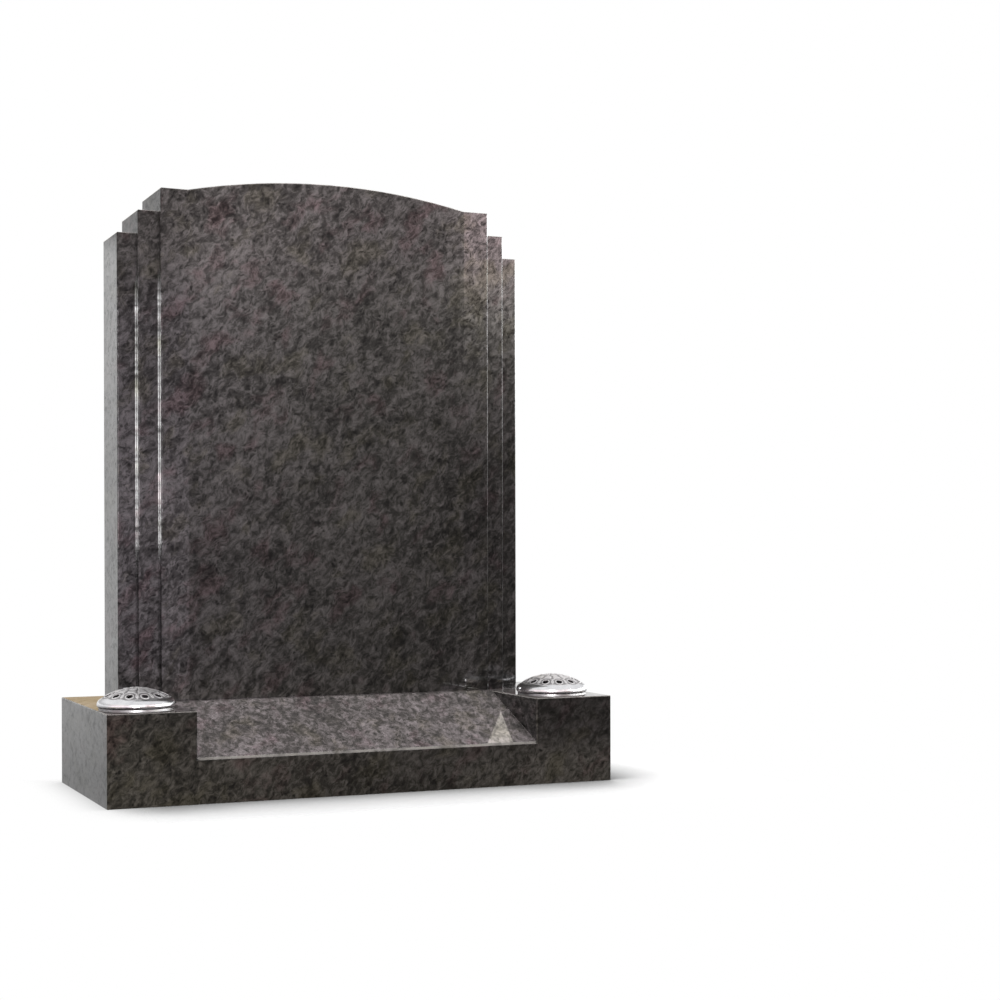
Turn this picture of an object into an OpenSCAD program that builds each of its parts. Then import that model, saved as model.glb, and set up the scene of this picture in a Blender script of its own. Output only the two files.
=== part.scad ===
// Lawn memorial: a stepped headstone on a flower base.
// The headstone stands on the ledge behind the base's slope. Each pillar of the
// base holds a flower container, which hangs by its flange under a pierced lid.
// Millimetres. The origin is the middle of the base's underside; +X is to the
// right of someone who faces the panel, +Y is the back and +Z is up.

/* [Headstone] */
// Width over the outer steps
stone_w = 640; // [480:1:780]
// Thickness at the centre panel, from the flat back
stone_t = 118; // [90:1:160]
// Height of the outer shoulders above the base
shoulder_h = 686; // [400:1:900]
// Rise from each shoulder to the next one in
step_rise = 32.5; // [15:0.5:60]
// How far each step's face lies behind the face inside it
step_set = 12; // [5:0.5:25]
// Width of each outer step's face
outer_step_w = 28; // [15:1:50]
// Width of each middle step's face
middle_step_w = 31; // [15:1:50]
// Width of each inner step's face, which meets the panel
inner_step_w = 41; // [20:1:60]
// Rise of the arch over the inner shoulders
arch_rise = 24; // [10:1:60]
// Angle that the step faces turn outwards from the panel
face_splay = 1.2; // [0:0.1:3]
// Width of the arris along the headstone's edges
stone_arris = 1; // [0.5:0.1:3]

/* [Base] */
// Width of the base
base_w = 762; // [600:1:960]
// Depth of the base, front to back
base_d = 322; // [260:1:420]
// Height of the base
base_h = 128; // [106:1:200]
// Width of each pillar
pillar_w = 124; // [100:1:160]
// Height of the front lip between the pillars
lip_h = 63; // [30:1:90]
// Depth of the flat ledge between the slope and the headstone
ledge_d = 22; // [10:1:50]
// Depth of the base that shows behind the headstone
back_margin = 18; // [5:1:50]
// Width of the arris along the base's edges
base_arris = 1; // [0.5:0.1:4]
// Width of the arris along the slope's front lip
lip_arris = 2.5; // [1:0.1:6]

/* [Flower containers] */
// Outer radius of a container's body
container_r = 45.5; // [36:0.5:55]
// Depth of a container below the top of the base
container_depth = 98; // [60:1:100]
// Wall thickness of a container
container_wall = 1.5; // [1:0.1:3]
// Thickness of the flange that rests on the base
flange_t = 1.5; // [1:0.1:4]
// Width of the flange around the body
flange_w = 6.5; // [4:0.5:10]
// Height of the mouth above the flange
mouth_h = 2; // [1:0.5:4]
// Clearance around a container in its socket
socket_gap = 1; // [0.3:0.1:3]
// Space under a container in its socket
socket_floor_gap = 4; // [1:0.5:8]
// Distance from the base's front to a container's axis
container_from_front = 84; // [70:1:100]
// How far a container's axis lies outside the middle of its pillar
container_shift = 3; // [0:0.5:6]

/* [Lids] */
// Height of a lid above the flange
lid_h = 28; // [22:0.5:40]
// Height of the lid's widest line above the flange
rim_mid_h = 4.5; // [3.5:0.5:6]
// Radius of the curve between a lid's rim and its crown
rim_curve_r = 9; // [5:0.5:14]
// How far a lid reaches past the flange
lid_overhang = 2.5; // [0.5:0.5:6]
// Wall thickness of a lid
lid_wall = 2; // [1:0.1:3]
// Clearance between a lid's turned-in lip and the mouth
lip_gap = 0.8; // [0.3:0.1:2]
// Radius of the stem holes
stem_hole_r = 4.5; // [3:0.5:6]
// Number of stem holes in a lid
stem_holes = 12; // [6:1:14]
// Distance from the container's outer wall in to the ring of stem holes
hole_ring_inset = 5.5; // [2:0.5:12]
// Turn of the left lid about its axis
left_lid_turn = 4; // [0:1:30]
// Turn of the right lid about its axis
right_lid_turn = 21; // [0:1:30]

/* [Hidden] */

$fn = 96;
arch_fn = 720;
granite = [0.29, 0.27, 0.28];
aluminium = [0.80, 0.80, 0.81];
// How far a cutter runs past the face it cuts
past = 1;

front_y = -base_d / 2;
stone_back_y = base_d / 2 - back_margin;

// Half widths of the headstone at each level, from the outside in
outer_x = stone_w / 2;
middle_x = outer_x - outer_step_w;
inner_x = middle_x - middle_step_w;
panel_x = inner_x - inner_step_w;

// The arch is one arc through both inner edges of the inner shoulders
arch_r = (panel_x * panel_x + arch_rise * arch_rise) / (2 * arch_rise);
inner_shoulder_h = shoulder_h + 2 * step_rise;
arch_centre_h = inner_shoulder_h + arch_rise - arch_r;

// The slope runs from the lip up to the ledge in front of the headstone
recess_x = base_w / 2 - pillar_w;
ledge_y = stone_back_y - stone_t - ledge_d;
slope_run = ledge_y - front_y;
slope = (base_h - lip_h) / slope_run;

container_x = base_w / 2 - pillar_w / 2 + container_shift;
container_y = front_y + container_from_front;
socket_r = container_r + socket_gap;
socket_depth = container_depth + socket_floor_gap;
flange_r = container_r + flange_w;

lid_r = flange_r + lid_overhang;
lid_lip_r = container_r + lip_gap;
hole_ring_r = container_r - hole_ring_inset;
rim_x = lid_r - rim_curve_r;
crown_h = lid_h - rim_mid_h;
// Radius of the crown arc that is tangent to the rim's curve
crown_r = (rim_x * rim_x + crown_h * crown_h - rim_curve_r * rim_curve_r)
    / (2 * (crown_h - rim_curve_r));

// Outline across two walls with a bevel of size c on its four corners
function bevelled(x0, x1, y0, y1, c) = [
    [x0 + c, y0], [x1 - c, y0], [x1, y0 + c], [x1, y1 - c],
    [x1 - c, y1], [x0 + c, y1], [x0, y1 - c], [x0, y0 + c]
];

// The same with only the two upper corners bevelled
function bevelled_top(x0, x1, y0, y1, c) = [
    [x0, y0], [x1, y0], [x1, y1 - c], [x1 - c, y1], [x0 + c, y1], [x0, y1 - c]
];

// Extrudes an outline drawn in X and Z along Y, from y0 to y1
module along_y(y0, y1) {
    translate([0, y1, 0])
        rotate([90, 0, 0])
            linear_extrude(height = y1 - y0)
                children();
}

// Extrudes an outline drawn in Y and Z along X, from x0 to x1
module along_x(x0, x1) {
    translate([x0, 0, 0])
        rotate([90, 0, 90])
            linear_extrude(height = x1 - x0)
                children();
}

// Plan of one level of the headstone: half width x, thickness t, and faces
// that turn back by the splay outside half width x_in
function level_plan(x, x_in, t) =
    let (c = stone_arris, back = (x - x_in) * tan(face_splay), y_out = -t + back)
    [
        [-x, -c], [-x + c, 0], [x - c, 0], [x, -c],
        [x, y_out + c], [x - c, y_out], [x_in, -t],
        [-x_in, -t], [-x + c, y_out], [-x, y_out + c]
    ];

// One level of the headstone, with an arris along its top
module level(x, x_in, t, h) {
    intersection() {
        linear_extrude(height = h) polygon(level_plan(x, x_in, t));
        along_y(-t - past, past) polygon(bevelled_top(-x, x, -past, h, stone_arris));
        along_x(-x - past, x + past) polygon(bevelled_top(-t, 0, -past, h, stone_arris));
    }
}

// The disc whose edge is the arch, with an arris at both faces
module arch_disc(t) {
    c = stone_arris;
    translate([0, 0, arch_centre_h])
        rotate([90, 0, 0])
            rotate_extrude($fn = arch_fn)
                polygon([[0, 0], [arch_r - c, 0], [arch_r, c], [arch_r, t - c],
                    [arch_r - c, t], [0, t]]);
}

module headstone() {
    color(granite)
        translate([0, stone_back_y, base_h])
            union() {
                level(outer_x, middle_x, stone_t - 2 * step_set, shoulder_h);
                level(middle_x, inner_x, stone_t - step_set, shoulder_h + step_rise);
                level(inner_x, panel_x, stone_t, inner_shoulder_h);
                intersection() {
                    linear_extrude(height = inner_shoulder_h + arch_rise + past)
                        polygon(level_plan(inner_x, panel_x, stone_t));
                    arch_disc(stone_t);
                }
            }
}

// The block that the base is cut from
module base_block() {
    x = base_w / 2;
    y = base_d / 2;
    intersection() {
        linear_extrude(height = base_h) polygon(bevelled(-x, x, -y, y, base_arris));
        along_y(-y - past, y + past) polygon(bevelled_top(-x, x, -past, base_h, base_arris));
        along_x(-x - past, x + past) polygon(bevelled_top(-y, y, -past, base_h, base_arris));
    }
}

// What is cut away above the slope, with the lip's arris
module slope_cut() {
    along_x(-recess_x, recess_x)
        polygon([
            [front_y - past, lip_h - lip_arris - past],
            [front_y, lip_h - lip_arris],
            [front_y + lip_arris, lip_h + lip_arris * slope],
            [ledge_y, base_h],
            [ledge_y, base_h + past],
            [front_y - past, base_h + past]
        ]);
}

// Arrises along one pillar's inner edges; side is -1 on the left, 1 on the right
module pillar_arris(side) {
    c = base_arris + past;
    // along the top of the cheek
    along_y(front_y - past, ledge_y)
        polygon([
            [side * (recess_x - past), base_h - c],
            [side * (recess_x + c), base_h + past],
            [side * (recess_x - past), base_h + past]
        ]);
    // down the pillar's front corner
    translate([0, 0, lip_h - lip_arris])
        linear_extrude(height = base_h - lip_h + lip_arris + past)
            polygon([
                [side * (recess_x - past), front_y + c],
                [side * (recess_x + c), front_y - past],
                [side * (recess_x - past), front_y - past]
            ]);
}

module base() {
    color(granite)
        difference() {
            base_block();
            slope_cut();
            for (side = [-1, 1]) {
                pillar_arris(side);
                translate([side * container_x, container_y, base_h - socket_depth])
                    cylinder(r = socket_r, h = socket_depth + past);
            }
        }
}

// A thin cup with a flange; its own zero is the underside of the flange
module container() {
    inner = container_r - container_wall;
    color(aluminium)
        rotate_extrude()
            polygon([
                [0, -container_depth], [container_r, -container_depth],
                [container_r, 0], [flange_r, 0], [flange_r, flange_t],
                [container_r, flange_t], [container_r, flange_t + mouth_h],
                [inner, flange_t + mouth_h], [inner, -container_depth + container_wall],
                [0, -container_depth + container_wall]
            ]);
}

// Half section of a solid lid, taken in by o on its curved sides and below
module dome_section(o) {
    crown_centre_h = lid_h - crown_r;
    edge_slope = (rim_mid_h - crown_centre_h) / rim_x;
    // crown, out to the line through both arc centres
    intersection() {
        translate([0, crown_centre_h]) circle(r = crown_r - o);
        polygon([
            [0, rim_mid_h], [rim_x, rim_mid_h],
            [rim_x + lid_r, rim_mid_h + edge_slope * lid_r],
            [0, rim_mid_h + edge_slope * lid_r]
        ]);
    }
    // curve down from the crown to the widest line
    intersection() {
        translate([rim_x, rim_mid_h]) circle(r = rim_curve_r - o);
        translate([rim_x - past, rim_mid_h]) square(rim_curve_r + past);
    }
    // rolled edge below the widest line
    intersection() {
        translate([lid_r - rim_mid_h, rim_mid_h]) circle(r = rim_mid_h - o);
        translate([lid_r - rim_mid_h, 0]) square(rim_mid_h);
    }
    translate([0, o]) square([lid_r - rim_mid_h, rim_mid_h - o]);
}

// A thin dome with a turned-in lip; its own zero is the face it rests on
module lid(turn) {
    color(aluminium)
        difference() {
            rotate_extrude()
                difference() {
                    dome_section(0);
                    dome_section(lid_wall);
                    translate([0, -past]) square([lid_lip_r, lid_wall + 2 * past]);
                }
            for (i = [0 : stem_holes - 1])
                rotate([0, 0, turn + i * 360 / stem_holes])
                    translate([0, -hole_ring_r, lid_wall + past])
                        cylinder(r = stem_hole_r, h = lid_h);
        }
}

// Places a container on the base; side is -1 on the left, 1 on the right
module on_pillar(side, lift) {
    translate([side * container_x, container_y, base_h + lift]) children();
}

module left_container() {
    on_pillar(-1, 0) container();
}

module right_container() {
    on_pillar(1, 0) container();
}

module left_lid() {
    on_pillar(-1, flange_t) lid(left_lid_turn);
}

module right_lid() {
    on_pillar(1, flange_t) lid(right_lid_turn);
}

headstone();
base();
left_container();
right_container();
left_lid();
right_lid();
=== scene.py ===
import math

import bpy
import numpy as np
from mathutils import Matrix, Vector


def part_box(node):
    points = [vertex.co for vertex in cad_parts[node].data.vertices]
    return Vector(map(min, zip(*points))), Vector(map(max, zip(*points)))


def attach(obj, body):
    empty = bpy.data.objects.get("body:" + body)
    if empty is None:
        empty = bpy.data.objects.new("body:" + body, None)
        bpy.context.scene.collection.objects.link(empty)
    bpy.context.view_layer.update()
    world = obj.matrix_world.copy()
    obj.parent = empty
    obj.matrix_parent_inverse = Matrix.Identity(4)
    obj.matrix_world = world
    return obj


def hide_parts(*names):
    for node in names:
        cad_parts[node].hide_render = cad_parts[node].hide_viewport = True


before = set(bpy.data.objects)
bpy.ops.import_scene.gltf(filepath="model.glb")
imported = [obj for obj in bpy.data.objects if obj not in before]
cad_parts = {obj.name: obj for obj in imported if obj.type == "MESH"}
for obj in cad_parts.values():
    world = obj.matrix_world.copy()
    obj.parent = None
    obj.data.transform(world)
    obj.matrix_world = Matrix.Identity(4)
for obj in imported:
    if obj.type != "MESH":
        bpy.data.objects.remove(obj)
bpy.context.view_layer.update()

bl_info = {
    "name": "Lawn memorial finishes",
    "version": (1, 0, 0),
    "blender": (4, 5, 0),
    "location": "3D View > Sidebar > Memorial",
    "description": "Polished granite, pierced aluminium lids and a studio for a stepped headstone",
    "category": "Object",
}

BODY = "root"
MM = 0.001

STONE_NODES = ("headstone", "base")
CONTAINER_NODES = ("left_container", "right_container")
LID_NODES = ("left_lid", "right_lid")

# sockets of a Mix node that mixes colours: how much of the second, the two, and the outcome
SHARE, ONE, OTHER, MIXED = 0, 6, 7, 2


# ---------------------------------------------------------------- colours and nodes

def linear(hex_colour):
    """The linear RGBA of an sRGB hex colour such as "4A4446"."""
    parts = [int(hex_colour[i:i + 2], 16) / 255 for i in (0, 2, 4)]
    curve = [c / 12.92 if c <= 0.04045 else ((c + 0.055) / 1.055) ** 2.4 for c in parts]
    return (*curve, 1.0)


def rgba(colour):
    """The RGBA of a grey, or of a colour that is linear already."""
    parts = (colour,) * 3 if isinstance(colour, float) else colour[:3]
    return (*parts, 1.0)


def set_stops(elements, stops):
    """Gives a ramp its (position, colour) stops."""
    while len(elements) < len(stops):
        elements.new(0.5)
    for element, (position, colour) in zip(elements, stops):
        element.position = position
        element.color = rgba(colour)


def add(tree, kind, inputs=None, **settings):
    """Adds one node to tree. Each input takes a value, or the output socket that feeds it.
    The settings are the node's attributes, and the stops of a ramp."""
    node = tree.nodes.new(kind)
    for name, value in settings.items():
        if name == "stops":
            set_stops(node.color_ramp.elements, value)
        else:
            setattr(node, name, value)
    for name, value in (inputs or {}).items():
        socket = node.inputs[name]
        if isinstance(value, bpy.types.NodeSocket):
            tree.links.new(value, socket)
        else:
            socket.default_value = rgba(value) if socket.type == "RGBA" else value
    return node


def new_material(name):
    """An empty node material: its tree, its output and its surface coordinates."""
    material = bpy.data.materials.new(name)
    material.use_nodes = True
    tree = material.node_tree
    tree.nodes.clear()
    output = add(tree, "ShaderNodeOutputMaterial")
    place = add(tree, "ShaderNodeTexCoord").outputs["Object"]
    return material, tree, output, place


# ---------------------------------------------------------------- materials

# The granite's level is its grain and its clouds, each stretched about its middle, less
# the mica. The grain's middle is raised to make up for the mica, so the whole lies round
# a half.
GRAIN_GAIN, GRAIN_MIDDLE = 1.82, 0.575
CLOUD_GAIN, MICA_SHARE = 0.6, 0.3

# Sizes of the patterns on the metals and the paper. Buffing marks are far finer than
# would show in the render, so they are drawn as coarse as they need to be.
SMEAR, BUFF_MARKS = 9 * MM, 0.8 * MM
STAIN, FIBRE = 14 * MM, 4 * MM

# how deep the container's brim stays plain, and over what depth the dirt and the painted shade then
# set in
PLAIN_BRIM, SLIME_AND_SHADE_DEPTH = 3 * MM, 6 * MM


def curled_places(tree, place, look):
    """Where the granite's pattern is read: places pushed about by a slow noise, so that
    strokes curl, then leant and stretched as the rock flowed."""
    bend = add(tree, "ShaderNodeTexNoise",
               {"Vector": place, "Scale": 1 / look.swirl, "Detail": 2.0, "Roughness": 0.5})
    offset = add(tree, "ShaderNodeVectorMath", {0: bend.outputs["Color"], 1: (0.5, 0.5, 0.5)},
                 operation="SUBTRACT")
    push = add(tree, "ShaderNodeVectorMath",
               {0: offset.outputs["Vector"], "Scale": look.swirl * look.curl}, operation="SCALE")
    bent = add(tree, "ShaderNodeVectorMath", {0: place, 1: push.outputs["Vector"]},
               operation="ADD")
    flow = add(tree, "ShaderNodeMapping",
               {"Vector": bent.outputs["Vector"], "Rotation": (0, look.flow_lean, 0),
                "Scale": (look.flow_across, look.flow_deep, look.flow_along)},
               vector_type="TEXTURE")
    return flow.outputs["Vector"]


def mica_flecks(tree, place, where, look):
    """Black mica: the hearts of small cells, where a slower noise gathers them."""
    cell = add(tree, "ShaderNodeTexVoronoi",
               {"Vector": where, "Scale": 1 / look.fleck, "Randomness": 1.0})
    heart = add(tree, "ShaderNodeValToRGB", {"Fac": cell.outputs["Distance"]},
                stops=[(0.10, 1.0), (0.42, 0.0)])
    cluster = add(tree, "ShaderNodeTexNoise",
                  {"Vector": place, "Scale": 1 / (4 * look.fleck), "Detail": 2.0, "Roughness": 0.5})
    gathered = add(tree, "ShaderNodeValToRGB", {"Fac": cluster.outputs["Fac"]},
                   stops=[(0.42, 0.1), (0.62, 1.0)])
    return add(tree, "ShaderNodeMath", {0: heart.outputs["Color"], 1: gathered.outputs["Color"]},
               operation="MULTIPLY").outputs[0]


def painted_arris_highlight(tree, normal, patches):
    """Painted highlight: how far a point is painted pale, 0 to 1, standing in for the highlight along
    an edge. It is the arrises that face up, more in some patches than in others."""
    facing = add(tree, "ShaderNodeSeparateXYZ", {"Vector": normal})
    arris = add(tree, "ShaderNodeValToRGB", {"Fac": facing.outputs["Z"]},
                stops=[(0.30, 0.0), (0.50, 1.0), (0.68, 1.0), (0.84, 0.0)])
    highlight_patches = add(tree, "ShaderNodeValToRGB", {"Fac": patches}, stops=[(0.40, 0.3), (0.55, 1.0)])
    return add(tree, "ShaderNodeMath", {0: arris.outputs["Color"], 1: highlight_patches.outputs["Color"]},
               operation="MULTIPLY").outputs[0]


def polished_granite(look):
    """Granite, sawn, ground and machine polished. The eye gets a dark body under a glassy
    film: short curled strokes of lavender grey feldspar on brown black mica, gathered in
    slow clouds, with olive and plum patches."""
    material, tree, output, place = new_material("polished_granite")
    where = curled_places(tree, place, look)
    grain = add(tree, "ShaderNodeTexNoise",
                {"Vector": where, "Scale": 1 / look.grain, "Detail": 5.0, "Roughness": 0.76,
                 "Distortion": 0.25}).outputs["Fac"]
    cloud = add(tree, "ShaderNodeTexNoise",
                {"Vector": place, "Scale": 1 / look.cloud, "Detail": 5.0, "Roughness": 0.62,
                 "Distortion": 0.6}).outputs["Fac"]
    patches = add(tree, "ShaderNodeTexNoise",
                  {"Vector": where, "Scale": 1 / look.tint_size, "Detail": 3.0,
                   "Roughness": 0.6}).outputs["Fac"]

    fine = add(tree, "ShaderNodeMath",
               {0: grain, 1: GRAIN_GAIN, 2: GRAIN_MIDDLE - GRAIN_GAIN / 2},
               operation="MULTIPLY_ADD")
    slow = add(tree, "ShaderNodeMath", {0: cloud, 1: CLOUD_GAIN, 2: -CLOUD_GAIN / 2},
               operation="MULTIPLY_ADD")
    both = add(tree, "ShaderNodeMath", {0: fine.outputs[0], 1: slow.outputs[0]}, operation="ADD")
    mica = mica_flecks(tree, place, where, look)
    level = add(tree, "ShaderNodeMath", {0: mica, 1: -MICA_SHARE, 2: both.outputs[0]},
                operation="MULTIPLY_ADD").outputs[0]

    body = add(tree, "ShaderNodeValToRGB", {"Fac": level},
               stops=[(0.20, look.dark), (0.50, look.middle), (0.92, look.pale)])
    hue = add(tree, "ShaderNodeValToRGB", {"Fac": patches},
              stops=[(0.36, look.olive), (0.46, 0.5), (0.56, 0.5), (0.68, look.plum)])
    tinted = add(tree, "ShaderNodeMix",
                 {SHARE: look.tint_strength, ONE: body.outputs["Color"],
                  OTHER: hue.outputs["Color"]},
                 data_type="RGBA", blend_type="OVERLAY")

    # a polished face is nearly a mirror; the dark mica takes the polish less well, the
    # film keeps a breath of the tints, and the arrises are eased by handling
    dull = add(tree, "ShaderNodeValToRGB", {"Fac": level},
               stops=[(0.3, look.roughness * 1.5), (0.65, look.roughness * 0.7)])
    shine = add(tree, "ShaderNodeValToRGB", {"Fac": level},
                stops=[(0.3, 0.16), (0.5, 0.49), (0.8, 1.0)])
    film = add(tree, "ShaderNodeValToRGB", {"Fac": patches},
               stops=[(0.34, look.olive_film), (0.46, 1.0), (0.56, 1.0), (0.68, look.plum_film)])
    eased = add(tree, "ShaderNodeBevel", {"Radius": look.eased}, samples=4).outputs["Normal"]
    bump = add(tree, "ShaderNodeBump",
               {"Height": grain, "Normal": eased, "Strength": 0.012, "Distance": 0.2 * MM})
    # painted highlight: the arrises that face up are painted paler, patchily
    recoloured = add(tree, "ShaderNodeMix",
               {SHARE: painted_arris_highlight(tree, eased, patches), ONE: tinted.outputs[MIXED],
                OTHER: look.arris_highlight}, data_type="RGBA")
    shader = add(tree, "ShaderNodeBsdfPrincipled",
                 {"IOR": look.ior, "Base Color": recoloured.outputs[MIXED],
                  "Roughness": dull.outputs["Color"],
                  "Specular IOR Level": shine.outputs["Color"],
                  "Specular Tint": film.outputs["Color"], "Normal": bump.outputs["Normal"]})
    tree.links.new(shader.outputs["BSDF"], output.inputs["Surface"])
    return material


def polished_aluminium(look):
    """Aluminium, pressed, pierced and buffed. It gives a bright, slightly blurred mirror, with faint
    buffing marks, drawn coarse enough to show, and a duller grey film left in the sunk ground of the
    relief. The same dark grey is painted over the lid's inside and its stem holes as painted shade."""
    material, tree, output, place = new_material("polished_aluminium")
    sunk = add(tree, "ShaderNodeAttribute", attribute_name="sunk").outputs["Fac"]
    relief = add(tree, "ShaderNodeAttribute", attribute_name="relief").outputs["Fac"]
    smear = add(tree, "ShaderNodeTexNoise",
                {"Vector": place, "Scale": 1 / SMEAR, "Detail": 4.0}).outputs["Fac"]
    marks = add(tree, "ShaderNodeTexNoise",
                {"Vector": place, "Scale": 1 / BUFF_MARKS, "Detail": 2.0})
    metal = add(tree, "ShaderNodeValToRGB", {"Fac": smear},
                stops=[(0.3, look.metal_low), (0.7, look.metal)])
    recoloured = add(tree, "ShaderNodeMix",
               {SHARE: relief, ONE: metal.outputs["Color"], OTHER: look.metal_worn},
               data_type="RGBA")
    # darker with film in the relief's sunk ground, and with painted shade inside the lid and in its
    # stem holes
    colour = add(tree, "ShaderNodeMix",
                 {SHARE: sunk, ONE: recoloured.outputs[MIXED], OTHER: look.film_and_shade_metal},
                 data_type="RGBA")
    smooth = add(tree, "ShaderNodeValToRGB", {"Fac": smear}, stops=[(0.3, 0.14), (0.7, 0.24)])
    rough = add(tree, "ShaderNodeMix",
                {SHARE: relief, ONE: smooth.outputs["Color"], OTHER: look.relief_roughness},
                data_type="RGBA")
    bump = add(tree, "ShaderNodeBump",
               {"Height": marks.outputs["Fac"], "Strength": 0.05, "Distance": 0.1 * MM})
    shader = add(tree, "ShaderNodeBsdfPrincipled",
                 {"Metallic": 1.0, "Base Color": colour.outputs[MIXED],
                  "Roughness": rough.outputs[MIXED], "Normal": bump.outputs["Normal"]})
    tree.links.new(shader.outputs["BSDF"], output.inputs["Surface"])
    return material


def dull_aluminium(look, brim):
    """Aluminium, spun and left as it came off the tool, with a film of oxide. It gives a soft grey
    sheen, uneven where water has stood, and dark below the brim, with dirt and painted shade down the
    inside."""
    material, tree, output, place = new_material("dull_aluminium")
    stain = add(tree, "ShaderNodeTexNoise",
                {"Vector": place, "Scale": 1 / STAIN, "Detail": 5.0}).outputs["Fac"]
    metal = add(tree, "ShaderNodeValToRGB", {"Fac": stain},
                stops=[(0.3, look.stained), (0.7, look.metal)])
    height = add(tree, "ShaderNodeSeparateXYZ", {"Vector": place}).outputs["Z"]
    below = add(tree, "ShaderNodeMapRange",
                {"Value": height, "From Min": brim, "From Max": brim - SLIME_AND_SHADE_DEPTH})
    # dirt and painted shade: darker with depth below the brim
    colour = add(tree, "ShaderNodeMix",
                 {SHARE: below.outputs["Result"], ONE: metal.outputs["Color"],
                  OTHER: look.slime_and_shade}, data_type="RGBA")
    rough = add(tree, "ShaderNodeValToRGB", {"Fac": stain}, stops=[(0.3, 0.32), (0.7, 0.5)])
    bump = add(tree, "ShaderNodeBump", {"Height": stain, "Strength": 0.08, "Distance": 0.2 * MM})
    shader = add(tree, "ShaderNodeBsdfPrincipled",
                 {"Metallic": 1.0, "Base Color": colour.outputs[MIXED],
                  "Roughness": rough.outputs["Color"], "Normal": bump.outputs["Normal"]})
    tree.links.new(shader.outputs["BSDF"], output.inputs["Surface"])
    return material


def floor_paper(look, footprint):
    """Matt white background paper: pale, even and without gloss. A soft shadow gathers
    where the stone meets it, and it fades into the white of the room at its edge."""
    material, tree, output, place = new_material("floor_paper")
    fibre = add(tree, "ShaderNodeTexNoise", {"Vector": place, "Scale": 1 / FIBRE, "Detail": 2.0})
    paper = add(tree, "ShaderNodeValToRGB", {"Fac": fibre.outputs["Fac"]},
                stops=[(0.3, look.floor * 0.98), (0.7, look.floor)])
    open_sky = add(tree, "ShaderNodeAmbientOcclusion", {"Distance": look.contact}, samples=12)
    shade = add(tree, "ShaderNodeValToRGB", {"Fac": open_sky.outputs["AO"]},
                stops=[(0.5, 0.25), (0.6, 0.36), (0.75, 0.5), (0.86, 0.66), (0.92, 0.8),
                       (0.96, 0.93), (0.985, 1.0)])
    colour = add(tree, "ShaderNodeMix",
                 {SHARE: 1.0, ONE: paper.outputs["Color"], OTHER: shade.outputs["Color"]},
                 data_type="RGBA", blend_type="MULTIPLY")
    matt = add(tree, "ShaderNodeBsdfDiffuse", {"Color": colour.outputs[MIXED]})
    # distance out from the base's footprint, along the farther of the two axes; the
    # paper reaches farther to the front and the right, where the shadow lies
    drawn = add(tree, "ShaderNodeVectorMath", {0: place, 1: (look.lean, -look.lean, 0)},
                operation="SUBTRACT")
    out = add(tree, "ShaderNodeVectorMath", {0: drawn.outputs["Vector"]}, operation="ABSOLUTE")
    beyond = add(tree, "ShaderNodeVectorMath", {0: out.outputs["Vector"], 1: (*footprint, 0)},
                 operation="SUBTRACT")
    parts = add(tree, "ShaderNodeSeparateXYZ", {"Vector": beyond.outputs["Vector"]})
    far = add(tree, "ShaderNodeMath", {0: parts.outputs["X"], 1: parts.outputs["Y"]},
              operation="MAXIMUM")
    edge = add(tree, "ShaderNodeMapRange",
               {"Value": far.outputs[0], "From Min": 0.0, "From Max": look.reach * 0.6},
               interpolation_type="SMOOTHSTEP")
    clear = add(tree, "ShaderNodeBsdfTransparent")
    faded = add(tree, "ShaderNodeMixShader",
                {0: edge.outputs["Result"], 1: matt.outputs["BSDF"], 2: clear.outputs["BSDF"]})
    tree.links.new(faded.outputs["Shader"], output.inputs["Surface"])
    return material


# ---------------------------------------------------------------- the lid's surface

# width of the ring's surface on each side of a stem hole
RING_MARGIN = 2.9 * MM

# how many points each stretch of the lid's surface gets
CROWN_ROWS = 10
CURVE_ROWS, INNER_ROWS = 12, 6
CELL_SIDES, CELL_STEPS, LINING_STEPS = 20, 14, 4
DISC_ROWS, LINING_ROWS = 44, 8
TUBE_ROWS = 5


def crown_arc(size):
    """Radius and centre height of the lid's crown: the arc through the top that is
    tangent to the rim's small curve."""
    rise = size.height - size.widest
    across = size.radius - size.rim_curve
    radius = (across ** 2 + rise ** 2 - size.rim_curve ** 2) / (2 * (rise - size.rim_curve))
    return radius, size.height - radius


def crown_height(r, size, inset):
    """Height of the crown at plan radius r: the circle's z, taken in by inset."""
    radius, centre = crown_arc(size)
    return centre + np.sqrt((radius - inset) ** 2 - r ** 2)


def arc(x, z, radius, start, end, count):
    """Points (x, z) at even angles from start to end on a circle."""
    t = np.linspace(start, end, count)
    return np.stack([x + radius * np.cos(t), z + radius * np.sin(t)], 1)


def rim_section(size, start):
    """Half section of the rim, from the crown at plan radius start, round the widest line
    and the rolled edge, under it, up the lip and back to the same radius inside: arcs of
    circles and straight runs, as an array of (r, z)."""
    crown, centre = crown_arc(size)
    lining = crown - size.wall
    across = size.radius - size.rim_curve
    roll = size.radius - size.widest
    lean = math.atan2(size.widest - centre, across)
    down = -math.pi / 2
    return np.concatenate([
        arc(0, centre, crown, math.acos(start / crown), lean, CROWN_ROWS),
        arc(across, size.widest, size.rim_curve, lean, 0, CURVE_ROWS)[1:],
        arc(roll, size.widest, size.widest, 0, down, CURVE_ROWS)[1:],
        [[size.lip, 0.0], [size.lip, size.wall]],
        arc(roll, size.widest, size.widest - size.wall, down, 0, INNER_ROWS),
        arc(across, size.widest, size.rim_curve - size.wall, 0, lean, INNER_ROWS)[1:],
        arc(0, centre, lining, lean, math.acos(start / lining), INNER_ROWS)[1:],
    ])


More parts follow.
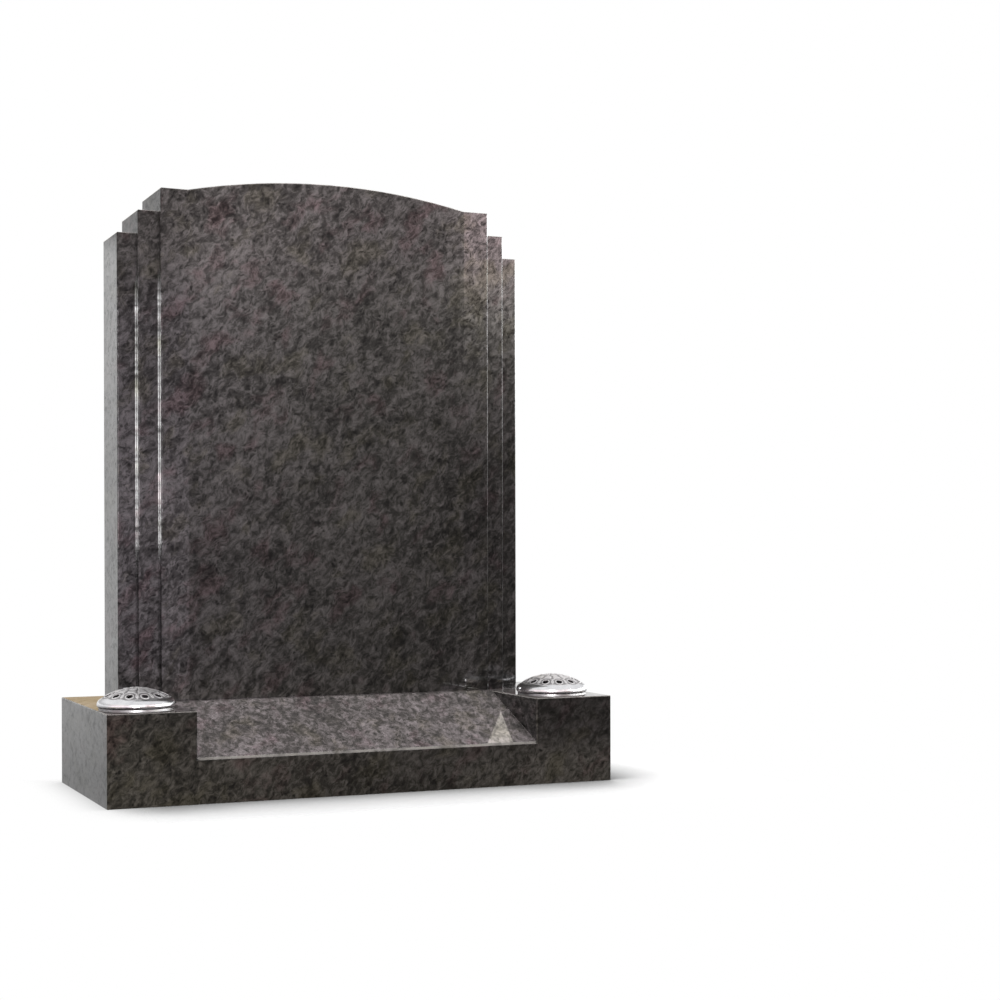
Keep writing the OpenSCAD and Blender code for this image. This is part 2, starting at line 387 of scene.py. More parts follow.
def hole_cell(size, steps):
    """Plan grid round one stem hole: its columns run once round, its rows from the hole's
    circle out to the edge of the hole's share of the ring, and points between them are
    mixed evenly. The share is a sector of the ring from size.ring_in to size.ring_out."""
    half = math.pi / size.holes
    t = np.arange(CELL_SIDES) / CELL_SIDES
    wide = size.ring_out - size.ring_in
    radii = (np.full(CELL_SIDES, size.ring_in), size.ring_in + wide * t,
             np.full(CELL_SIDES, size.ring_out), size.ring_out - wide * t)
    angles = (-half + 2 * half * t, np.full(CELL_SIDES, half),
              half - 2 * half * t, np.full(CELL_SIDES, -half))
    r, angle = np.concatenate(radii), np.concatenate(angles)
    edge = np.stack([r * np.sin(angle), -r * np.cos(angle)], 1)
    centre = np.array([0.0, -size.ring])
    away = edge - centre
    circle = centre + size.hole * away / np.linalg.norm(away, axis=1, keepdims=True)
    v = np.linspace(0, 1, steps + 1)[:, None, None] ** 1.25
    return circle[None] * (1 - v) + edge[None] * v


def turned(plan, angle):
    """The plan grid turned about the lid's axis."""
    c, s = math.cos(angle), math.sin(angle)
    return np.stack([plan[..., 0] * c - plan[..., 1] * s, plan[..., 0] * s + plan[..., 1] * c], -1)


def smooth_step(low, high, value):
    """0 below low, 1 above high and a cubic between."""
    t = np.clip((value - low) / (high - low), 0, 1)
    return t * t * (3 - 2 * t)


def petals(r, angle, count, start, end, phase=0.0):
    """Height of a ring of petals, 0 to 1: each is a rounded leaf from radius start to
    end, as wide as its share of the circle, with a groove along its middle."""
    share = 2 * math.pi / count
    a = (angle - phase + share / 2) % share - share / 2
    along = (r - start) / (end - start)
    width = 0.5 * share * np.sqrt(np.clip(along * (1.25 - along) * 2.6, 0, 1)) * 0.96
    inside = np.where((along > 0) & (along < 1), 1 - np.abs(a) / np.maximum(width, 1e-6), 0)
    ends = np.minimum(smooth_step(0.0, 0.12, along), smooth_step(1.0, 0.86, along))
    dome = smooth_step(0, 0.35, inside) * ends
    groove = 0.15 * np.exp(-(a * r / 0.6) ** 2) * smooth_step(0.1, 0.3, along)
    return dome * (1 - groove) * (0.3 + 0.7 * along ** 2)


def relief(plan, size):
    """Height of the lid's relief over the plain dome, and how far a point lies in its sunk
    ground, 0 to 1. The height is that of the sunk ground plus the highest of a raised
    collar round each stem hole, a cord round the collar's inner side, three rings of
    petals, a bud in the middle and a leaf between each two holes. It is worked out in
    millimetres."""
    x, y = plan[..., 0] / MM, plan[..., 1] / MM
    size = size.in_mm
    r = np.hypot(x, y)
    angle = np.arctan2(x, -y)
    share = 2 * math.pi / size.holes
    near = (angle + share / 2) % share - share / 2
    from_hole = np.hypot(r * np.sin(near), r * np.cos(near) - size.ring)

    scallop = 1.2 * np.cos(near * size.holes)
    field = smooth_step(size.ring_out + 1.0, size.ring_out - 1.5, r - scallop)
    collar_middle, collar_half = size.hole + 0.75, 0.95
    collar = size.collar * np.exp(-((from_hole - collar_middle) / collar_half) ** 4)
    cord_middle, cord_half, cord_height = 10.6, 0.8, 0.8
    cord = cord_height * np.exp(-((from_hole - cord_middle) / cord_half) ** 2) * (r < size.ring)
    outer = 1.0 * petals(r, angle, size.holes, start=17.0, end=30.5)
    middle = 1.1 * petals(r, angle, 8, start=7.5, end=19.0, phase=0.2)
    inner = 1.1 * petals(r, angle, 5, start=0.5, end=9.5)
    bud = 1.2 * smooth_step(3.4, 0.6, r)
    leaf_x, leaf_y = (np.abs(near) - share / 2) * r, r - size.ring
    half_width, half_length, vein = 2.6, 5.2, 0.5
    leaf = 1 - (leaf_x / half_width) ** 2 - (leaf_y / half_length) ** 2
    leaves = 0.9 * smooth_step(0, 0.5, leaf) * (1 - 0.4 * np.exp(-(leaf_x / vein) ** 2))
    raised = np.maximum.reduce([collar, cord, outer, middle, inner, bud, leaves])

    stipple = 0.05 * np.sin(5.1 * x + 1.3 * np.sin(3.3 * y)) * np.sin(4.7 * y + 1.7 * np.sin(2.9 * x))
    low = np.clip(1 - raised / 0.35, 0, 1)
    height = -size.sink * field + raised * smooth_step(0.02, 0.25, raised) + stipple * field * low
    return height * MM, field * low


def raised_side(plan, size):
    """The plan grid lifted to the lid's outer side, z = crown(r) + relief(x, y)."""
    height, _ = relief(plan, size)
    r = np.hypot(plan[..., 0], plan[..., 1])
    return np.concatenate([plan, (crown_height(r, size, 0) + height)[..., None]], -1)


def lining(plan, size):
    """The plan grid lifted to the lid's inner side: the same crown taken in by the wall."""
    r = np.hypot(plan[..., 0], plan[..., 1])
    return np.concatenate([plan, crown_height(r, size, size.wall)[..., None]], -1)


def grid_faces(rows, columns, first):
    """Quads of a grid of vertices that starts at index first and whose columns close on
    themselves."""
    i = np.arange(rows - 1)[:, None]
    j = np.arange(columns)[None]
    k = (j + 1) % columns
    quads = np.stack(np.broadcast_arrays(i * columns + j, i * columns + k,
                                         (i + 1) * columns + k, (i + 1) * columns + j), -1)
    return quads.reshape(-1, 4) + first


def lid_grids(size):
    """The grids that make up the lid, each with whether its faces turn the other way: the
    crown inside the ring of holes, its lining, a cell round each hole with its own lining
    and a short tube, and the rim's section carried round the axis. Neighbours share their
    edge points."""
    around = size.holes * CELL_SIDES
    angle = -math.pi / size.holes + 2 * math.pi * np.arange(around) / around
    ring = np.stack([np.sin(angle), -np.cos(angle)], -1)
    disc = np.linspace(0, size.ring_in, DISC_ROWS)[:, None, None] * ring[None]
    yield raised_side(disc, size), True
    inner_disc = np.linspace(0, size.ring_in, LINING_ROWS)[:, None, None] * ring[None]
    yield lining(inner_disc, size), False

    cell, inner_cell = hole_cell(size, CELL_STEPS), hole_cell(size, LINING_STEPS)
    v = np.linspace(0, 1, TUBE_ROWS)[:, None, None] ** 2.5
    for hole in range(size.holes):
        spin = 2 * math.pi * hole / size.holes
        top = raised_side(turned(cell, spin), size)
        under = lining(turned(inner_cell, spin), size)
        yield top, False
        yield under, True
        yield top[:1] * (1 - v) + under[:1] * v, True

    section = rim_section(size, size.ring_out)
    rim = np.concatenate([section[:, :1, None] * ring[None],
                          np.broadcast_to(section[:, 1, None, None], (len(section), around, 1))], -1)
    height, _ = relief(rim[..., :2], size)
    rim[:CROWN_ROWS, :, 2] += height[:CROWN_ROWS]
    yield rim, True


def lid_mesh(size, turn, centre):
    """The lid as one closed shell: its points, its faces, how dark each point is painted, 0 to 1,
    with film in the sunk ground and painted shade inside, and how far each point lies on the relief,
    0 to 1."""
    points, faces, first = [], [], 0
    for grid, flip in lid_grids(size):
        rows, columns = grid.shape[:2]
        quads = grid_faces(rows, columns, first)
        faces.append(quads[:, ::-1] if flip else quads)
        points.append(grid.reshape(-1, 3))
        first += rows * columns
    points, faces = np.concatenate(points), np.concatenate(faces)
    sunk = film_and_shade_share(points, size)
    on_relief = smooth_step(size.ring_out + 1.5 * MM, size.ring_out - 1.0 * MM,
                            np.hypot(points[:, 0], points[:, 1]))
    points[:, :2] = turned(points[:, :2], turn)
    points += np.array(centre)
    return weld(points, faces, sunk, on_relief)


def film_and_shade_share(points, size):
    """How dark each point is painted, 0 to 1: not at all on the rim, a share of how far it lies in
    the relief's sunk ground on the outer side, for the film there, and wholly inside, as painted
    shade under the lid and in its stem holes."""
    r = np.hypot(points[:, 0], points[:, 1])
    height, low = relief(points[:, :2], size)
    outer_side = crown_height(np.minimum(r, size.ring_out), size, 0) + height
    outside = points[:, 2] > outer_side - 0.05 * MM
    on_rim = r > size.ring_out + 0.1 * MM
    return np.where(on_rim, 0.0, np.where(outside, 0.65 * low, 1.0))


def weld(points, faces, *values):
    """Joins points that lie within a thousandth of a millimetre."""
    _, index, back = np.unique(np.round(points / (0.001 * MM)).astype(np.int64), axis=0,
                               return_index=True, return_inverse=True)
    return points[index], back.reshape(-1)[faces], *(value[index] for value in values)


def new_piece(name, points, faces):
    """A smooth shaded mesh object from an array of points and an array of four cornered
    faces. A corner that repeats the one before it is left out, so a face with one such
    corner is a triangle, and a face with two has closed up and is dropped."""
    kept = faces != np.roll(faces, 1, 1)
    sides = kept.sum(1)
    corners = faces[kept & (sides > 2)[:, None]]
    sides = sides[sides > 2]
    mesh = bpy.data.meshes.new(name)
    mesh.vertices.add(len(points))
    mesh.vertices.foreach_set("co", np.asarray(points, float).ravel())
    mesh.loops.add(len(corners))
    mesh.loops.foreach_set("vertex_index", corners)
    mesh.polygons.add(len(sides))
    mesh.polygons.foreach_set("loop_start", np.cumsum(sides) - sides)
    mesh.polygons.foreach_set("use_smooth", np.ones(len(sides), bool))
    mesh.update(calc_edges=True)
    mesh.validate()
    piece = bpy.data.objects.new(name, mesh)
    bpy.context.scene.collection.objects.link(piece)
    return piece


# ---------------------------------------------------------------- settings

class StoneLook(bpy.types.PropertyGroup):
    """Colours and grain of the polished granite."""
    dark: bpy.props.FloatVectorProperty(
        name="Mica", description="Colour of the darkest grains", subtype="COLOR",
        size=3, default=linear("161515")[:3])
    middle: bpy.props.FloatVectorProperty(
        name="Body", description="Colour of most of the stone", subtype="COLOR",
        size=3, default=linear("262423")[:3])
    pale: bpy.props.FloatVectorProperty(
        name="Feldspar", description="Colour of the palest strokes", subtype="COLOR",
        size=3, default=linear("4A4546")[:3])
    olive: bpy.props.FloatVectorProperty(
        name="Olive tint", description="Tint of some patches, laid over their colour",
        subtype="COLOR", size=3, default=linear("B9B8A2")[:3])
    plum: bpy.props.FloatVectorProperty(
        name="Plum tint", description="Tint of other patches, laid over their colour",
        subtype="COLOR", size=3, default=linear("C8AEB8")[:3])
    tint_strength: bpy.props.FloatProperty(
        name="Tint strength", description="How strongly the tints colour the grains",
        default=0.4, min=0, max=1, subtype="FACTOR")
    olive_film: bpy.props.FloatVectorProperty(
        name="Olive film", description="Tint of the reflection on the olive patches",
        subtype="COLOR", size=3, default=linear("F9F8EB")[:3])
    plum_film: bpy.props.FloatVectorProperty(
        name="Plum film", description="Tint of the reflection on the plum patches",
        subtype="COLOR", size=3, default=linear("FFE9EB")[:3])
    # the pale colour painted on the up-facing arrises as a highlight
    arris_highlight: bpy.props.FloatVectorProperty(
        name="Highlit arris", description="Colour of the worn edges that face up",
        subtype="COLOR", size=3, default=linear("4F4C49")[:3])
    eased: bpy.props.FloatProperty(
        name="Eased arris", description="Radius that the light sees along the edges",
        default=1.5 * MM, unit="LENGTH")
    swirl: bpy.props.FloatProperty(
        name="Swirl", description="Size of the bends in the grain", default=22 * MM,
        min=1 * MM, unit="LENGTH")
    curl: bpy.props.FloatProperty(
        name="Curl", description="How far the grain bends, as a share of the swirl",
        default=0.8, min=0, max=3)
    flow_lean: bpy.props.FloatProperty(
        name="Flow's lean", subtype="ANGLE", default=math.radians(42),
        description="Lean of the rock's sheets from upright, seen from the front")
    flow_along: bpy.props.FloatProperty(
        name="Along the flow", description="Stretch of the grains up along the sheets",
        default=1.25, min=0.2, max=5)
    flow_deep: bpy.props.FloatProperty(
        name="Into the stone", description="Stretch of the grains from front to back",
        default=1.6, min=0.2, max=5)
    flow_across: bpy.props.FloatProperty(
        name="Across the flow", description="Stretch of the grains across the sheets",
        default=0.75, min=0.2, max=5)
    grain: bpy.props.FloatProperty(
        name="Grain", description="Size of the largest grains", default=11 * MM, min=0.5 * MM,
        unit="LENGTH")
    fleck: bpy.props.FloatProperty(
        name="Flecks", description="Spacing of the mica flecks", default=6 * MM, min=0.5 * MM,
        unit="LENGTH")
    cloud: bpy.props.FloatProperty(
        name="Clouds", description="Size of the slow changes of tone", default=110 * MM,
        min=5 * MM, unit="LENGTH")
    tint_size: bpy.props.FloatProperty(
        name="Tint patches", description="Size of the tinted patches", default=60 * MM,
        min=1 * MM, unit="LENGTH")
    roughness: bpy.props.FloatProperty(
        name="Roughness", description="Roughness of the polish", default=0.06, min=0, max=1,
        subtype="FACTOR")
    ior: bpy.props.FloatProperty(
        name="IOR", description="Index of refraction of the polished surface", default=1.45,
        min=1.2, max=2)


class LidLook(bpy.types.PropertyGroup):
    """Sizes of the lids and their relief, and colours of the buffed metal."""
    wall: bpy.props.FloatProperty(
        name="Wall", description="Thickness of the lid", default=2 * MM, unit="LENGTH")
    widest: bpy.props.FloatProperty(
        name="Widest line", description="Height of the lid's widest line", default=4.5 * MM,
        unit="LENGTH")
    rim_curve: bpy.props.FloatProperty(
        name="Rim curve", description="Radius of the curve above the widest line",
        default=9 * MM, unit="LENGTH")
    lip: bpy.props.FloatProperty(
        name="Lip", description="Inner radius of the turned-in lip", default=46.3 * MM,
        unit="LENGTH")
    ring: bpy.props.FloatProperty(
        name="Hole ring", description="Radius of the ring of stem holes", default=40 * MM,
        unit="LENGTH")
    hole: bpy.props.FloatProperty(
        name="Stem hole", description="Radius of a stem hole", default=4.5 * MM, unit="LENGTH")
    holes: bpy.props.IntProperty(
        name="Stem holes", description="Number of stem holes in a lid", default=12, min=6, max=14)
    left_turn: bpy.props.FloatProperty(
        name="Left lid's turn", description="Turn of the left lid about its axis",
        default=math.radians(4), subtype="ANGLE")
    right_turn: bpy.props.FloatProperty(
        name="Right lid's turn", description="Turn of the right lid about its axis",
        default=math.radians(21), subtype="ANGLE")
    collar: bpy.props.FloatProperty(
        name="Collar", description="Height of the raised collar round a stem hole",
        default=0.6 * MM, unit="LENGTH")
    sink: bpy.props.FloatProperty(
        name="Sunk ground", description="Depth of the ground between the leaves",
        default=0.45 * MM, unit="LENGTH")
    metal: bpy.props.FloatVectorProperty(
        name="Metal", description="Colour of the buffed metal", subtype="COLOR", size=3,
        default=linear("EDEDEF")[:3])
    metal_low: bpy.props.FloatVectorProperty(
        name="Smeared metal", description="Colour where the polish is smeared",
        subtype="COLOR", size=3, default=linear("DADADD")[:3])
    metal_worn: bpy.props.FloatVectorProperty(
        name="Worn relief", description="Colour of the relief's raised parts, which a buff misses",
        subtype="COLOR", size=3, default=linear("E2E0E1")[:3])
    # this dark grey is also painted over the lid's inside and its stem holes as painted shade
    film_and_shade_metal: bpy.props.FloatVectorProperty(
        name="Sunk metal", description="Colour of the film in the sunk ground",
        subtype="COLOR", size=3, default=linear("5A5759")[:3])
    relief_roughness: bpy.props.FloatProperty(
        name="Relief's roughness", description="Roughness of the metal on the relief",
        default=0.5, min=0, max=1, subtype="FACTOR")


class ContainerLook(bpy.types.PropertyGroup):
    """Colours of the flower containers."""
    metal: bpy.props.FloatVectorProperty(
        name="Container", description="Colour of the container's metal", subtype="COLOR",
        size=3, default=linear("B8B8BA")[:3])
    stained: bpy.props.FloatVectorProperty(
        name="Container stain", description="Colour of the container's stains",
        subtype="COLOR", size=3, default=linear("8E8C8A")[:3])
    # the dark of dirt and painted shade inside the container, below the brim
    slime_and_shade: bpy.props.FloatVectorProperty(
        name="Container's inside", description="Colour of the slime under the brim",
        subtype="COLOR", size=3, default=linear("2C2B29")[:3])


class StageLook(bpy.types.PropertyGroup):
    """Camera, floor and light of the studio."""
    eye: bpy.props.FloatVectorProperty(
        name="Eye", description="Where the camera stands", subtype="TRANSLATION", size=3,
        default=(-0.8971, -2.6061, 0.3480))
    yaw: bpy.props.FloatProperty(
        name="Yaw", description="Turn of the view from +Y towards +X", subtype="ANGLE",
        default=math.radians(24.12))
    pitch: bpy.props.FloatProperty(
        name="Pitch", description="Rise of the view", subtype="ANGLE", default=math.radians(-0.33))
    roll: bpy.props.FloatProperty(
        name="Roll", description="Roll of the camera", subtype="ANGLE", default=math.radians(-0.10))
    lens: bpy.props.FloatProperty(
        name="Lens", description="Focal length in millimetres on a 36 mm sensor", default=65.53)
    shift: bpy.props.FloatProperty(
        name="Rise", description="Upward shift of the lens as a share of the frame", default=0.0607)
    floor: bpy.props.FloatProperty(
        name="Floor", description="Reflectance of the floor", default=0.2, min=0, max=1,
        subtype="FACTOR")
    reach: bpy.props.FloatProperty(
        name="Floor's reach", description="How far the floor runs past the base",
        default=0.25, min=0.1, unit="LENGTH")
    contact: bpy.props.FloatProperty(
        name="Contact shadow", description="Reach of the soft shadow round the base",
        default=0.3, min=0.01, unit="LENGTH")
    lean: bpy.props.FloatProperty(
        name="Shadow's lean", description="How far the shadow is drawn to the front and right",
        default=0.09, min=0, unit="LENGTH")
    air: bpy.props.FloatProperty(
        name="Air", description="Brightness of the room's scattered light", default=0.22, min=0)
    key: bpy.props.FloatProperty(
        name="Key light", description="Power of the light beside the camera", default=70.0)
    top: bpy.props.FloatProperty(
        name="Top light", description="Power of the light overhead", default=330.0)
    back: bpy.props.FloatProperty(
        name="Back light", description="Power of the light on the floor behind", default=260.0)


# ---------------------------------------------------------------- pieces

class LidSize:
    """The lid's sizes in metres, from its CAD node's box and the settings, and a copy of
    them in millimetres."""

    def __init__(self, node, look, unit=1.0):
        low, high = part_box(node)
        self.radius = (high.x - low.x) / 2 / unit
        self.height = (high.z - low.z) / unit
        self.holes = look.holes
        for name in ("wall", "widest", "rim_curve", "lip", "ring", "hole", "collar", "sink"):
            setattr(self, name, getattr(look, name) / unit)
        self.ring_in = self.ring - self.hole - RING_MARGIN / unit
        self.ring_out = self.ring + self.hole + RING_MARGIN / unit
        if unit == 1.0:
            self.in_mm = LidSize(node, look, MM)


def lay_material(piece, material):
    """Gives every face of a piece the one material."""
    piece.data.materials.clear()
    piece.data.materials.append(material)


class MEMORIAL_OT_stone(bpy.types.Operator):
    """Polish the headstone and its base"""
    bl_idname = "memorial.stone"
    bl_label = "Polish the granite"

    def execute(self, context):
        material = polished_granite(context.scene.memorial_stone)
        for name in STONE_NODES:
            lay_material(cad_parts[name], material)
        return {"FINISHED"}


class MEMORIAL_OT_containers(bpy.types.Operator):
    """Finish the flower containers"""
    bl_idname = "memorial.containers"
    bl_label = "Finish the containers"

    def execute(self, context):
        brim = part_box(CONTAINER_NODES[0])[1].z - PLAIN_BRIM
        material = dull_aluminium(context.scene.memorial_containers, brim)
        for name in CONTAINER_NODES:
            lay_material(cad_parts[name], material)
        return {"FINISHED"}


class MEMORIAL_OT_lids(bpy.types.Operator):
    """Make the pierced lids with their relief"""
    bl_idname = "memorial.lids"
    bl_label = "Make the lids"

    def execute(self, context):
        look = context.scene.memorial_lids
        material = polished_aluminium(look)
        for node, turn in zip(LID_NODES, (look.left_turn, look.right_turn)):
            low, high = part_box(node)
            centre = ((low.x + high.x) / 2, (low.y + high.y) / 2, low.z)
            points, faces, sunk, on_relief = lid_mesh(LidSize(node, look), turn, centre)
            lid = new_piece(node + "_relief", points, faces)
            for name, values in (("sunk", sunk), ("relief", on_relief)):
                lid.data.attributes.new(name, "FLOAT", "POINT").data.foreach_set("value", values)
            lay_material(lid, material)
            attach(lid, BODY)
            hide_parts(node)
        return {"FINISHED"}


# ---------------------------------------------------------------- the studio

# The room that shines in the polish: how bright each of its sides is against the upward
# part of a direction, from ROOM_LOW to ROOM_HIGH, as (upward part, brightness).
ROOM_LOW, ROOM_HIGH = -0.14, 0.3
FRONT_LEFT = ((-0.14, 1.0), (-0.06, 1.4), (-0.01, 1.68), (0.05, 1.4), (0.1, 1.12), (0.3, 1.12))
FRONT_RIGHT = ((-0.12, 0.76), (-0.1, 0.64), (-0.063, 0.62), (-0.007, 0.7), (0.047, 0.9),
               (0.113, 1.3), (0.17, 1.85), (0.3, 1.6))
DARK_CORNER = ((-0.115, 0.7), (-0.1, 0.1), (-0.04, 0.33), (0.0, 0.13), (0.04, 0.22),
               (0.08, 0.4), (0.113, 1.35), (0.15, 4.0), (0.19, 6.0), (0.24, 1.2))
BACK_WALL = ((-0.12, 0.52), (-0.05, 0.87), (0.05, 0.87), (0.11, 1.08), (0.157, 1.08), (0.168, 0.6))
WINDOW = ((-0.1, 0.5), (0.0, 1.0), (0.05, 3.0), (0.1, 8.0), (0.18, 14.0), (0.2, 10.0), (0.24, 0.9))
CEILING = 0.95

# the front darkens to the right, along the tangent of the angle from straight ahead
FADE_START, FADE_END = 0.2, 0.5
FRONT_FADE = ((0.26, 1.0), (0.44, 0.76), (0.62, 0.59), (0.72, 0.5))

# A small bright sheet hangs high behind the right side, where the slope sees it past the
# tablet: its direction, and the cosines of the angles to its soft edge and its even part.
SHEET_WAY = (0.407, 0.614, 0.677)
SHEET_EDGE, SHEET_EVEN = 0.997, 0.999
SHEET_BRIGHTNESS = 2.3


def passing(tree, before, after, value, start, end):
    """Passes from one colour to another, smoothly, as value rises from start to end."""
    share = add(tree, "ShaderNodeMapRange", {"Value": value, "From Min": start, "From Max": end},
                interpolation_type="SMOOTHSTEP")
    return add(tree, "ShaderNodeMix",
               {SHARE: share.outputs["Result"], ONE: before, OTHER: after},
               data_type="RGBA").outputs[MIXED]


def shining_room(tree):
    """What a mirror sees: a white wall behind, warm on its right half, and in front a room
    that brightens upwards, darkens to the right, and ends at the far right in a dark
    corner under a bright window, with a bright sheet high behind."""
    way = add(tree, "ShaderNodeTexCoord").outputs["Generated"]
    parts = add(tree, "ShaderNodeSeparateXYZ", {"Vector": way})
    x, y, z = (parts.outputs[name] for name in "XYZ")
    rise = add(tree, "ShaderNodeMapRange", {"Value": z, "From Min": ROOM_LOW, "From Max": ROOM_HIGH})
    left, right, corner, back, window = (
        add(tree, "ShaderNodeValToRGB", {"Fac": rise.outputs["Result"]},
            stops=[((at - ROOM_LOW) / (ROOM_HIGH - ROOM_LOW), bright) for at, bright in side]
            ).outputs["Color"]
        for side in (FRONT_LEFT, FRONT_RIGHT, DARK_CORNER, BACK_WALL, WINDOW))

    # tangent of the direction's angle to the right of straight ahead
    ahead = add(tree, "ShaderNodeMath", {0: y, 1: -1.0}, operation="MULTIPLY")
    forward = add(tree, "ShaderNodeMath", {0: ahead.outputs[0], 1: 0.001}, operation="MAXIMUM")
    side = add(tree, "ShaderNodeMath", {0: x, 1: forward.outputs[0]}, operation="DIVIDE").outputs[0]
    across = add(tree, "ShaderNodeMapRange",
                 {"Value": side, "From Min": FADE_START, "From Max": FADE_END})
    fade = add(tree, "ShaderNodeValToRGB", {"Fac": across.outputs["Result"]}, stops=FRONT_FADE)
    faded = add(tree, "ShaderNodeMix", {SHARE: 1.0, ONE: right, OTHER: fade.outputs["Color"]},
                data_type="RGBA", blend_type="MULTIPLY").outputs[MIXED]

    # the front's brightness, and its tints: cool to the left, rosy higher up, brown low down
    to_corner = passing(tree, faded, corner, side, 0.38, 0.49)
    plain = passing(tree, left, to_corner, side, 0.19, 0.26)
    middle = passing(tree, linear("FDF0FA"), linear("FFF8EF"), side, 0.15, 0.40)
    rosy = passing(tree, linear("FFF2F0"), linear("FFE6E8"), side, 0.40, 0.48)
    upper = passing(tree, middle, rosy, z, 0.12, 0.17)
    tints = passing(tree, linear("FFF3DE"), upper, z, -0.10, -0.06)
    front = add(tree, "ShaderNodeMix", {SHARE: 1.0, ONE: plain, OTHER: tints},
                data_type="RGBA", blend_type="MULTIPLY").outputs[MIXED]

    # behind, the wall's right half is warm
    warm = passing(tree, back, linear("CBB591"), x, 0.05, 0.12)
    behind = passing(tree, warm, back, x, 0.30, 0.38)
    around = passing(tree, front, behind, y, -0.15, 0.35)
    room = passing(tree, around, window, x, 0.62, 0.75)
    overhead = passing(tree, room, CEILING, z, 0.3, 0.6)
    towards = add(tree, "ShaderNodeVectorMath", {0: way, 1: SHEET_WAY}, operation="DOT_PRODUCT")
    sheet = [SHEET_BRIGHTNESS * part for part in linear("FFF7EC")]
    return passing(tree, overhead, sheet, towards.outputs["Value"], SHEET_EDGE, SHEET_EVEN)


def studio_air(look):
    """The room round the stage as a world. The camera sees plain white past the object,
    matt surfaces an even grey, and what shines the shining room."""
    world = bpy.data.worlds.new("studio_air")
    world.use_nodes = True
    tree = world.node_tree
    tree.nodes.clear()
    output = add(tree, "ShaderNodeOutputWorld")
    path = add(tree, "ShaderNodeLightPath")
    scattered = add(tree, "ShaderNodeMix",
                    {SHARE: path.outputs["Is Glossy Ray"], ONE: look.air,
                     OTHER: shining_room(tree)}, data_type="RGBA")
    colour = add(tree, "ShaderNodeMix",
                 {SHARE: path.outputs["Is Camera Ray"], ONE: scattered.outputs[MIXED],
                  OTHER: 1.0}, data_type="RGBA")
    air = add(tree, "ShaderNodeBackground", {"Color": colour.outputs[MIXED], "Strength": 1.0})
    tree.links.new(air.outputs["Background"], output.inputs["Surface"])
    bpy.context.scene.world = world


def soft_light(name, place, aim, width, height, power):
    """A rectangular soft light at place that faces aim."""
    light = bpy.data.lights.new(name, "AREA")
    light.shape = "RECTANGLE"
    light.size = width
    light.size_y = height
    light.energy = power
    lamp = bpy.data.objects.new(name, light)
    turn = (Vector(aim) - Vector(place)).to_track_quat("-Z", "Y").to_matrix().to_4x4()
    lamp.matrix_world = Matrix.Translation(place) @ turn
    bpy.context.scene.collection.objects.link(lamp)
    return lamp


def hang_lights(look):
    """The soft lights. The one beside the camera is seen only as a reflection, and the two
    overhead only light what is matt."""
    key = soft_light("key_softbox", (-0.97, -2.8, 0.75), (0, 0, 0.5), 0.7, 0.8, look.key)
    key.visible_diffuse = False
    top = soft_light("top_softbox", (0.3, -0.2, 2.4), (0.3, -0.2, 0), 2.2, 0.5, look.top)
    top.visible_glossy = False
    back = soft_light("back_softbox", (0, 1.0, 2.4), (0, 0.7, 0), 2.2, 0.8, look.back)
    back.visible_glossy = False


def lay_floor(look):
    """A flat sheet of paper round the base's footprint."""
    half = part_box("base")[1]
    x, y = half.x + look.reach, half.y + look.reach
    corners = np.array([(-x, -y, 0), (x, -y, 0), (x, y, 0), (-x, y, 0)])
    floor = new_piece("floor", corners, np.array([(0, 1, 2, 3)]))
    lay_material(floor, floor_paper(look, (half.x, half.y)))
    floor.visible_glossy = False


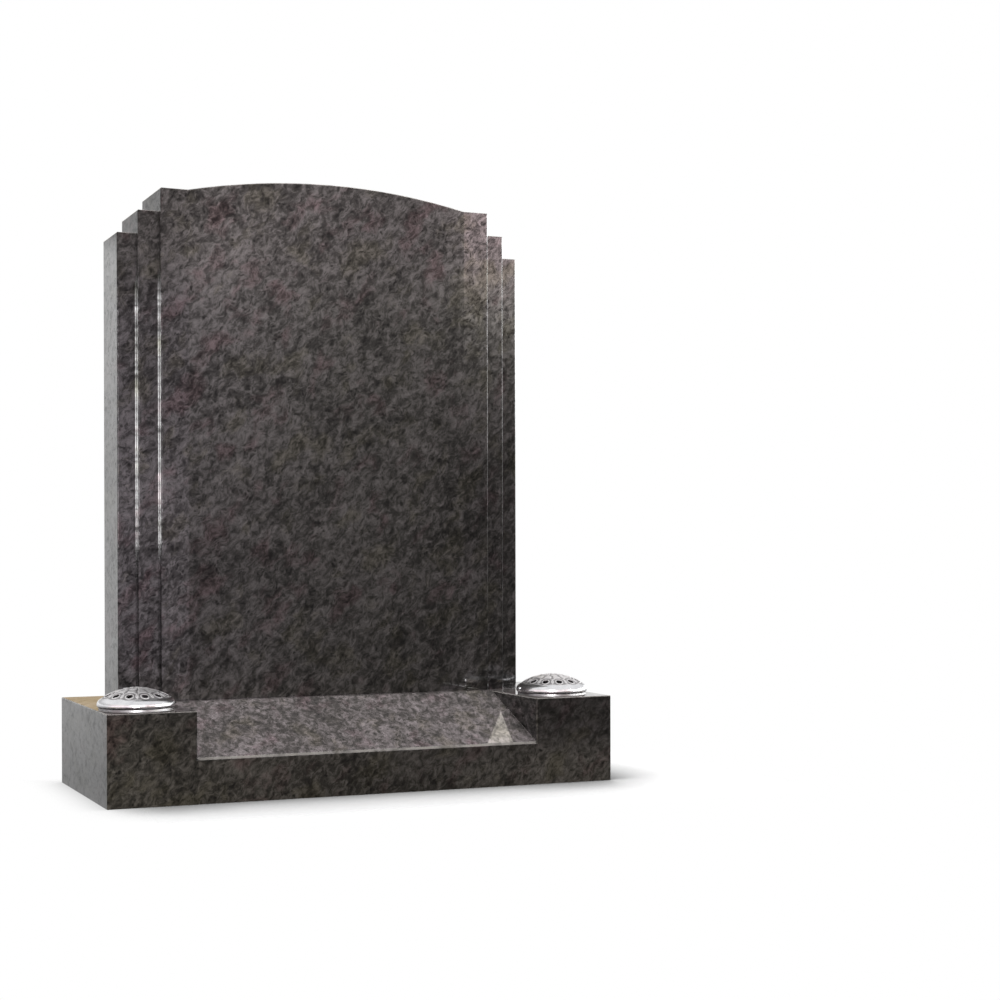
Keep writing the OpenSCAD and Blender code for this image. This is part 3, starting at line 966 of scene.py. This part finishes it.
def stand_camera(look):
    """The camera at the eye, turned by yaw, pitch and roll."""
    camera = bpy.data.cameras.new("camera")
    camera.sensor_width = 36
    camera.lens = look.lens
    camera.shift_y = look.shift
    camera.clip_end = 50
    eye = bpy.data.objects.new("camera", camera)
    forward = Vector((math.sin(look.yaw) * math.cos(look.pitch),
                      math.cos(look.yaw) * math.cos(look.pitch), math.sin(look.pitch)))
    right = Vector((math.cos(look.yaw), -math.sin(look.yaw), 0))
    up = right.cross(forward)
    side = right * math.cos(look.roll) + up * math.sin(look.roll)
    top = up * math.cos(look.roll) - right * math.sin(look.roll)
    turn = Matrix((side, top, -forward)).transposed()
    eye.matrix_world = Matrix.Translation(Vector(look.eye)) @ turn.to_4x4()
    bpy.context.scene.collection.objects.link(eye)
    bpy.context.scene.camera = eye


class MEMORIAL_OT_stage(bpy.types.Operator):
    """Set up the floor, the lights and the camera"""
    bl_idname = "memorial.stage"
    bl_label = "Set the stage"

    def execute(self, context):
        look = context.scene.memorial_stage
        lay_floor(look)
        hang_lights(look)
        studio_air(look)
        stand_camera(look)
        context.scene.view_settings.view_transform = "Standard"
        return {"FINISHED"}


class MEMORIAL_PT_panel(bpy.types.Panel):
    """The memorial's pieces and settings."""
    bl_idname = "MEMORIAL_PT_panel"
    bl_label = "Memorial"
    bl_space_type = "VIEW_3D"
    bl_region_type = "UI"
    bl_category = "Memorial"

    def draw(self, context):
        for operator, (settings, group) in zip(OPERATORS, SETTINGS.items()):
            box = self.layout.box()
            box.operator(operator.bl_idname)
            for name in group.__annotations__:
                box.prop(getattr(context.scene, settings), name)


SETTINGS = {"memorial_stone": StoneLook, "memorial_containers": ContainerLook,
            "memorial_lids": LidLook, "memorial_stage": StageLook}
OPERATORS = (MEMORIAL_OT_stone, MEMORIAL_OT_containers, MEMORIAL_OT_lids, MEMORIAL_OT_stage)
CLASSES = (*SETTINGS.values(), *OPERATORS, MEMORIAL_PT_panel)


def register():
    """Registers the classes and hangs their settings on the scene."""
    for cls in CLASSES:
        bpy.utils.register_class(cls)
    for name, group in SETTINGS.items():
        setattr(bpy.types.Scene, name, bpy.props.PointerProperty(type=group))


def unregister():
    """Takes the settings and the classes away again."""
    for name in SETTINGS:
        delattr(bpy.types.Scene, name)
    for cls in reversed(CLASSES):
        bpy.utils.unregister_class(cls)


def main():
    register()
    bpy.ops.memorial.stone()
    bpy.ops.memorial.containers()
    bpy.ops.memorial.lids()
    bpy.ops.memorial.stage()


if __name__ == "__main__":
    main()
